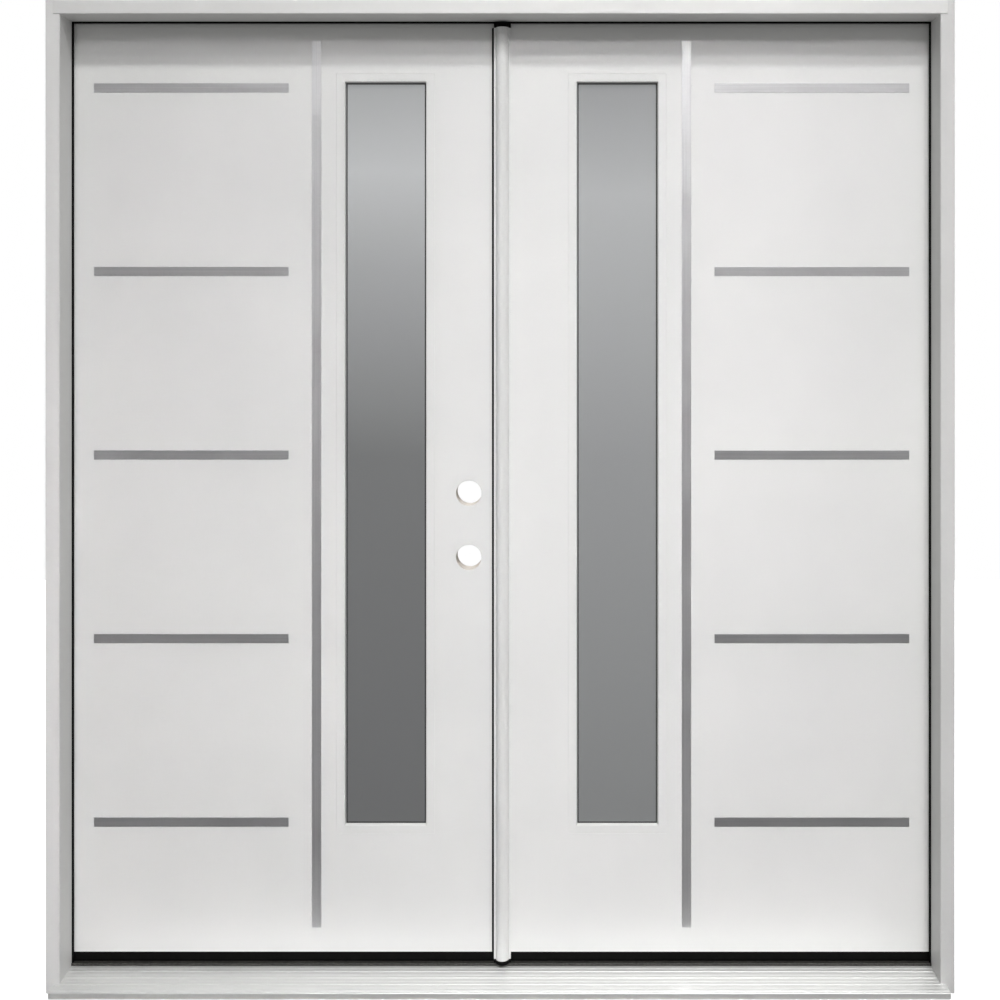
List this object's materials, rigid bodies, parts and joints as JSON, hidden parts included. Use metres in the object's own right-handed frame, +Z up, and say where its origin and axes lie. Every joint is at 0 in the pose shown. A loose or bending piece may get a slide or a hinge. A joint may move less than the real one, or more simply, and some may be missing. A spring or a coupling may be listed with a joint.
{
  "type": "double front door",
  "caption": "Prehung double entry door: white flush leaves with tall frosted glass and metal inlay strips, a white frame, black seals and a ribbed aluminium sill.",
  "frame": {"origin": "middle of the sill's underside, half way through the jamb depth", "axes": "+X to the right seen from the street, -Y towards the street, +Y indoors, +Z up"},
  "size_m": [1.8796, 0.1595, 2.0537],
  "materials": {
    "primed_skin": "satin",
    "jamb_white": "satin",
    "post_white": "satin",
    "edge_wood": "primed",
    "foam": "matte",
    "frosted_glass": "frosted",
    "spacer_metal": "mill",
    "inlay_metal": "brushed",
    "black_seal": "matte",
    "hinge_metal": "satin",
    "sill_composite": "matte",
    "sill_metal": "mill",
    "cap_dark": "matte"
  },
  "bodies": {
    "frame": {"left_jamb": "jamb_white", "right_jamb": "jamb_white", "head_jamb": "jamb_white", "sill_base": "sill_composite", "sill_deck": "sill_metal", "sill_cap": "cap_dark", "side_weatherstrips": "black_seal", "head_weatherstrip": "black_seal", "left_jamb_hinge_plates": "hinge_metal", "right_jamb_hinge_plates": "hinge_metal", "left_hinge_pins": "hinge_metal", "right_hinge_pins": "hinge_metal"},
    "active_leaf": {"left_outer_skin": "primed_skin", "left_inner_skin": "primed_skin", "left_hinge_stile": "edge_wood", "left_lock_stile": "edge_wood", "left_rails": "edge_wood", "left_core": "foam", "left_glass_frame": "primed_skin", "left_glass": "frosted_glass", "left_glass_spacer": "spacer_metal", "left_upright_strip": "inlay_metal", "left_cross_strips": "inlay_metal", "left_sweep": "black_seal", "left_leaf_hinge_plates": "hinge_metal", "left_lock_block": "edge_wood"},
    "inactive_leaf": {"right_outer_skin": "primed_skin", "right_inner_skin": "primed_skin", "right_hinge_stile": "edge_wood", "right_lock_stile": "edge_wood", "right_rails": "edge_wood", "right_core": "foam", "right_glass_frame": "primed_skin", "right_glass": "frosted_glass", "right_glass_spacer": "spacer_metal", "right_upright_strip": "inlay_metal", "right_cross_strips": "inlay_metal", "right_sweep": "black_seal", "right_leaf_hinge_plates": "hinge_metal", "right_closing_post": "post_white", "right_post_cover": "post_white", "right_post_seal": "black_seal", "right_post_boots": "black_seal", "right_bolt_plates": "hinge_metal"}
  },
  "joints": [
    {"name": "active_leaf_hinge", "type": "hinge", "parent": "frame", "child": "active_leaf", "pos_m": [-0.9198, 0.065, 0], "axis": [0, 0, 1], "range_deg": [0, 170]},
    {"name": "inactive_leaf_hinge", "type": "hinge", "parent": "frame", "child": "inactive_leaf", "pos_m": [0.9198, 0.065, 0], "axis": [0, 0, -1], "range_deg": [0, 170]}
  ]
}
